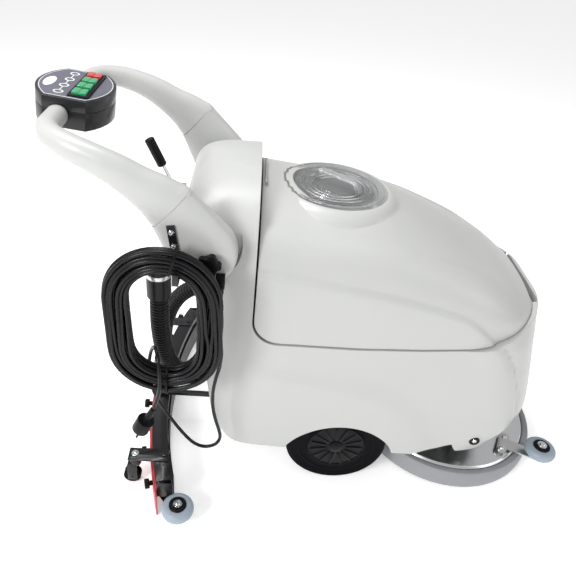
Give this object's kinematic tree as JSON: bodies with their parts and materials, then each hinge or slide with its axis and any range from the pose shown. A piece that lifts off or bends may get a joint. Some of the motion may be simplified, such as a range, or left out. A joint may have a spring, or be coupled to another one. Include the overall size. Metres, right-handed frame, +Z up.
{
  "type": "floor scrubber",
  "caption": "Walk-behind wet and dry floor scrubber with a disc brush deck, a tilting recovery tank under a clear lid, a curved squeegee and a coiled mains lead.",
  "frame": {"origin": "centre of the machine's footprint box on the floor", "axes": "+X forwards over the brush deck, +Y to the machine's left, +Z up"},
  "size_m": [1.3076, 0.824, 0.9424],
  "materials": {
    "shell_grey": "moulded",
    "black_plastic": "satin",
    "black_paint": "satin powder coat",
    "frame_paint": "satin",
    "steel": "brushed",
    "chrome": "polished",
    "deck_aluminium": "polished",
    "wheel_rubber": "matt",
    "bumper_grey": "satin",
    "roller_grey": "satin",
    "blade_red": "satin",
    "blade_natural": "satin",
    "bristle": "matt",
    "lid_clear": "clear moulded",
    "label": "satin film",
    "rocker_green": "gloss",
    "rocker_red": "gloss",
    "board": "gloss",
    "lead": "satin",
    "motor": "satin",
    "float_white": "matt"
  },
  "bodies": {
    "chassis": {"lower_body": "shell_grey", "base_frame": "frame_paint", "drive_axle": "steel", "vacuum_motor": "motor", "brush_motor": "motor", "deck_cover": "deck_aluminium", "bumper_ring": "bumper_grey", "roller_brackets": "steel", "tank_hinge_pin": "steel", "lever_bracket": "chrome", "vacuum_hose": "black_plastic", "drain_hose": "black_plastic"},
    "left_wheel": {"left_tyre": "wheel_rubber", "left_hub_cover": "black_plastic"},
    "right_wheel": {"right_tyre": "wheel_rubber", "right_hub_cover": "black_plastic"},
    "brush": {"brush_disc": "bristle", "brush_bristles": "bristle"},
    "left_front_roller": {"left_front_roller": "roller_grey"},
    "right_front_roller": {"right_front_roller": "roller_grey"},
    "tank": {"recovery_tank": "shell_grey", "lid_gasket": "wheel_rubber", "float_cage": "float_white", "float_ball": "float_white"},
    "lid": {"tank_lid": "lid_clear"},
    "handle": {"left_arm": "shell_grey", "right_arm": "shell_grey", "left_pivot_cover": "shell_grey", "right_pivot_cover": "shell_grey", "box_base": "black_plastic", "box_top": "black_plastic", "control_label": "label", "switch_bezel": "black_plastic", "control_board": "board", "cable_hook": "black_paint", "cable_gland": "black_plastic", "cord_lead": "lead", "cord_coil": "lead", "mains_plug": "black_plastic"},
    "left_knob": {"left_clamp_knob": "black_plastic"},
    "right_knob": {"right_clamp_knob": "black_plastic"},
    "vacuum_rocker": {"vacuum_switch": "rocker_green"},
    "water_rocker": {"water_switch": "rocker_green"},
    "brush_rocker": {"brush_switch": "rocker_green"},
    "power_rocker": {"power_switch": "rocker_red"},
    "lever": {"lift_lever": "chrome", "lever_grip": "black_plastic"},
    "lift": {"lift_arm": "black_paint"},
    "squeegee": {"squeegee_bar": "black_paint", "front_blade": "blade_natural", "rear_blade": "blade_red", "blade_knobs": "black_plastic"},
    "left_squeegee_roller": {"left_squeegee_roller": "roller_grey"},
    "right_squeegee_roller": {"right_squeegee_roller": "roller_grey"},
    "left_caster": {"left_caster_fork": "black_paint"},
    "left_caster_wheel": {"left_caster_wheel": "black_plastic"},
    "right_caster": {"right_caster_fork": "black_paint"},
    "right_caster_wheel": {"right_caster_wheel": "black_plastic"}
  },
  "joints": [
    {"name": "left_wheel_spin", "type": "hinge", "parent": "chassis", "child": "left_wheel", "pos_m": [0.05979, 0.203, 0.127], "axis": [0, 1, 0], "continuous": true},
    {"name": "right_wheel_spin", "type": "hinge", "parent": "chassis", "child": "right_wheel", "pos_m": [0.05979, -0.203, 0.127], "axis": [0, 1, 0], "continuous": true},
    {"name": "brush_spin", "type": "hinge", "parent": "chassis", "child": "brush", "pos_m": [0.40379, 0, 0.03], "axis": [0, 0, 1], "continuous": true},
    {"name": "left_front_roller_spin", "type": "hinge", "parent": "chassis", "child": "left_front_roller", "pos_m": [0.61479, 0.178, 0.101], "axis": [0, 0, 1], "continuous": true},
    {"name": "right_front_roller_spin", "type": "hinge", "parent": "chassis", "child": "right_front_roller", "pos_m": [0.61479, -0.178, 0.101], "axis": [0, 0, 1], "continuous": true},
    {"name": "tank_tilt", "type": "hinge", "parent": "chassis", "child": "tank", "pos_m": [-0.16621, 0, 0.772], "axis": [0, -1, 0], "range_deg": [0, 65]},
    {"name": "lid_lift", "type": "slide", "parent": "tank", "child": "lid", "axis": [0.0523, 0, 0.9986], "range_m": [0, 0.12]},
    {"name": "handle_tilt", "type": "hinge", "parent": "chassis", "child": "handle", "pos_m": [-0.28521, 0, 0.7], "axis": [0, 1, 0], "range_deg": [-12, 20]},
    {"name": "left_knob_turn", "type": "hinge", "parent": "handle", "child": "left_knob", "pos_m": [-0.26821, 0.27, 0.694], "axis": [0, 1, 0], "continuous": true},
    {"name": "right_knob_turn", "type": "hinge", "parent": "handle", "child": "right_knob", "pos_m": [-0.26821, -0.27, 0.694], "axis": [0, -1, 0], "continuous": true},
    {"name": "vacuum_rocker_press", "type": "hinge", "parent": "handle", "child": "vacuum_rocker", "pos_m": [-0.54686, -0.057, 0.9347], "axis": [0, 1, 0], "range_deg": [0, 16]},
    {"name": "water_rocker_press", "type": "hinge", "parent": "handle", "child": "water_rocker", "pos_m": [-0.54686, -0.019, 0.9347], "axis": [0, 1, 0], "range_deg": [0, 16]},
    {"name": "brush_rocker_press", "type": "hinge", "parent": "handle", "child": "brush_rocker", "pos_m": [-0.54686, 0.019, 0.9347], "axis": [0, 1, 0], "range_deg": [0, 16]},
    {"name": "power_rocker_press", "type": "hinge", "parent": "handle", "child": "power_rocker", "pos_m": [-0.54686, 0.057, 0.9347], "axis": [0, 1, 0], "range_deg": [0, 16]},
    {"name": "squeegee_lift", "type": "hinge", "parent": "chassis", "child": "lift", "pos_m": [-0.21021, 0, 0.106], "axis": [0, 1, 0], "range_deg": [0, 18], "deforming": ["vacuum_hose"]},
    {"name": "lever_swing", "type": "hinge", "parent": "chassis", "child": "lever", "pos_m": [-0.35721, -0.085, 0.748], "axis": [0, 1, 0], "range_deg": [-54, 0]},
    {"name": "squeegee_swivel", "type": "hinge", "parent": "lift", "child": "squeegee", "pos_m": [-0.41021, 0, 0.107], "axis": [0, 0, 1], "range_deg": [-14, 14]},
    {"name": "left_squeegee_roller_spin", "type": "hinge", "parent": "squeegee", "child": "left_squeegee_roller", "pos_m": [-0.32421, 0.373, 0.05], "axis": [0, 0, 1], "continuous": true},
    {"name": "right_squeegee_roller_spin", "type": "hinge", "parent": "squeegee", "child": "right_squeegee_roller", "pos_m": [-0.32421, -0.373, 0.05], "axis": [0, 0, 1], "continuous": true},
    {"name": "left_caster_swivel", "type": "hinge", "parent": "squeegee", "child": "left_caster", "pos_m": [-0.44421, 0.262, 0.08], "axis": [0, 0, 1], "continuous": true},
    {"name": "left_caster_spin", "type": "hinge", "parent": "left_caster", "child": "left_caster_wheel", "pos_m": [-0.45421, 0.262, 0.023], "axis": [0, 1, 0], "continuous": true},
    {"name": "right_caster_swivel", "type": "hinge", "parent": "squeegee", "child": "right_caster", "pos_m": [-0.44421, -0.262, 0.08], "axis": [0, 0, 1], "continuous": true},
    {"name": "right_caster_spin", "type": "hinge", "parent": "right_caster", "child": "right_caster_wheel", "pos_m": [-0.45421, -0.262, 0.023], "axis": [0, 1, 0], "continuous": true}
  ],
  "couplings": [
    {"joint": "lever_swing", "follows": "squeegee_lift", "ratio": -3}
  ]
}
